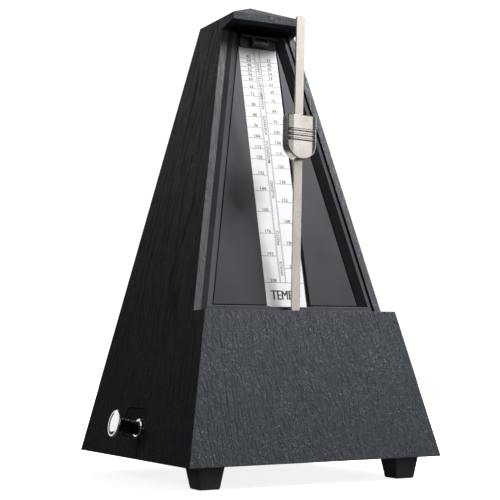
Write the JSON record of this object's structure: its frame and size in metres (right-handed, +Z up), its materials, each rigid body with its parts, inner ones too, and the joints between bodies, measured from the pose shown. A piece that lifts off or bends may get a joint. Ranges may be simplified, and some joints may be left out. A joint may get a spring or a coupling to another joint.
{
  "type": "metronome",
  "caption": "Wind-up pyramid metronome with a tempo scale, a swinging rod carrying a sliding weight, a winding key and a pull-out beat selector, standing on small feet.",
  "frame": {"origin": "on the table, under the middle of the square base", "axes": "+X to the right seen from the front, -Y out of the front, +Z up"},
  "size_m": [0.144, 0.12, 0.2141],
  "materials": {
    "case_plastic": "satin",
    "panel_plastic": "satin",
    "scale_white": "satin",
    "catch_plastic": "satin",
    "base_plastic": "matte",
    "foot_rubber": "matte",
    "screw_steel": "satin",
    "selector_plastic": "satin",
    "chrome_trim": "polished",
    "arbor_steel": "satin",
    "frame_steel": "satin",
    "frame_aluminium": "satin",
    "spring_steel": "satin",
    "brass_parts": "satin",
    "bell_steel": "polished",
    "cam_plastic": "satin",
    "rod_nickel": "satin",
    "bob_nickel": "polished",
    "weight_brass": "matte"
  },
  "bodies": {
    "case": {"case_shell": "case_plastic", "scale_panel": "panel_plastic", "scale_plate": "scale_white", "rod_catch": "catch_plastic", "base_plate": "base_plastic", "foot_front_left": "foot_rubber", "foot_front_right": "foot_rubber", "foot_rear": "foot_rubber", "foot_screws": "screw_steel", "selector_escutcheon": "selector_plastic", "selector_bezel": "chrome_trim", "key_bush": "brass_parts", "left_plate": "frame_steel", "right_plate": "frame_steel", "frame_bars": "frame_aluminium", "frame_pillars": "arbor_steel", "frame_screws": "screw_steel", "movement_screws": "screw_steel", "front_bearing": "frame_steel", "rear_bearing": "frame_steel", "escape_bridge": "frame_steel", "bridge_posts": "arbor_steel", "click_screw": "screw_steel", "click_spring": "spring_steel", "bell": "bell_steel", "bell_post": "arbor_steel", "bell_nut": "screw_steel", "hammer_pivot": "screw_steel", "hammer_spring": "spring_steel"},
    "winding": {"winding_key": "chrome_trim", "winding_arbor": "arbor_steel", "ratchet_wheel": "arbor_steel"},
    "click": {"click": "frame_steel"},
    "barrel": {"barrel_gear": "brass_parts", "barrel_drum": "brass_parts", "barrel_cover": "brass_parts", "mainspring": "spring_steel"},
    "second": {"second_wheel": "brass_parts", "second_pinion": "arbor_steel", "second_arbor": "arbor_steel"},
    "escape": {"escape_wheel": "brass_parts", "escape_pinion": "arbor_steel", "escape_arbor": "arbor_steel", "beat_drive_wheel": "brass_parts"},
    "beat": {"beat_cam": "cam_plastic", "beat_pinion": "arbor_steel", "beat_arbor": "arbor_steel"},
    "pendulum": {"pendulum_rod": "rod_nickel", "pendulum_arbor": "arbor_steel", "rod_collar": "brass_parts", "counterweight": "weight_brass", "weight_rivets": "arbor_steel", "pallets": "arbor_steel"},
    "bob": {"bob": "bob_nickel", "bob_spring": "spring_steel"},
    "selector": {"selector_rod": "selector_plastic", "selector_cap": "chrome_trim"},
    "hammer": {"hammer": "frame_steel"}
  },
  "joints": [
    {"name": "pendulum_swing", "type": "hinge", "parent": "case", "child": "pendulum", "pos_m": [0, -0.038, 0.0516], "axis": [0, 1, 0], "range_deg": [-23.8, 20.2]},
    {"name": "bob_slide", "type": "slide", "parent": "pendulum", "child": "bob", "axis": [0.0311, 0, 0.9995], "range_m": [-0.0735, 0.036]},
    {"name": "key_wind", "type": "hinge", "parent": "case", "child": "winding", "pos_m": [0, 0.01541, 0.04376], "axis": [1, 0, 0], "range_deg": [-1800, 0]},
    {"name": "click_lift", "type": "hinge", "parent": "case", "child": "click", "pos_m": [0, 0.00381, 0.05306], "axis": [1, 0, 0], "range_deg": [0, 14], "stiffness_Nm_per_rad": 0.004},
    {"name": "second_turn", "type": "hinge", "parent": "case", "child": "second", "pos_m": [0, -0.00763, 0.04215], "axis": [1, 0, 0], "continuous": true},
    {"name": "barrel_turn", "type": "hinge", "parent": "case", "child": "barrel", "pos_m": [0, 0.01541, 0.04376], "axis": [1, 0, 0], "continuous": true},
    {"name": "escape_turn", "type": "hinge", "parent": "case", "child": "escape", "pos_m": [0, -0.024, 0.0516], "axis": [1, 0, 0], "continuous": true},
    {"name": "beat_turn", "type": "hinge", "parent": "case", "child": "beat", "pos_m": [0, -0.024, 0.06385], "axis": [1, 0, 0], "continuous": true},
    {"name": "hammer_strike", "type": "hinge", "parent": "case", "child": "hammer", "pos_m": [0, 0.002, 0.0626], "axis": [1, 0, 0], "range_deg": [-7.5, 6], "stiffness_Nm_per_rad": 0.03},
    {"name": "selector_push", "type": "slide", "parent": "case", "child": "selector", "axis": [0.9775, 0, -0.211], "range_m": [0, 0.006]}
  ],
  "couplings": [
    {"joint": "barrel_turn", "follows": "second_turn", "ratio": -0.22222},
    {"joint": "escape_turn", "follows": "second_turn", "ratio": -4.4},
    {"joint": "beat_turn", "follows": "second_turn", "ratio": 11}
  ]
}
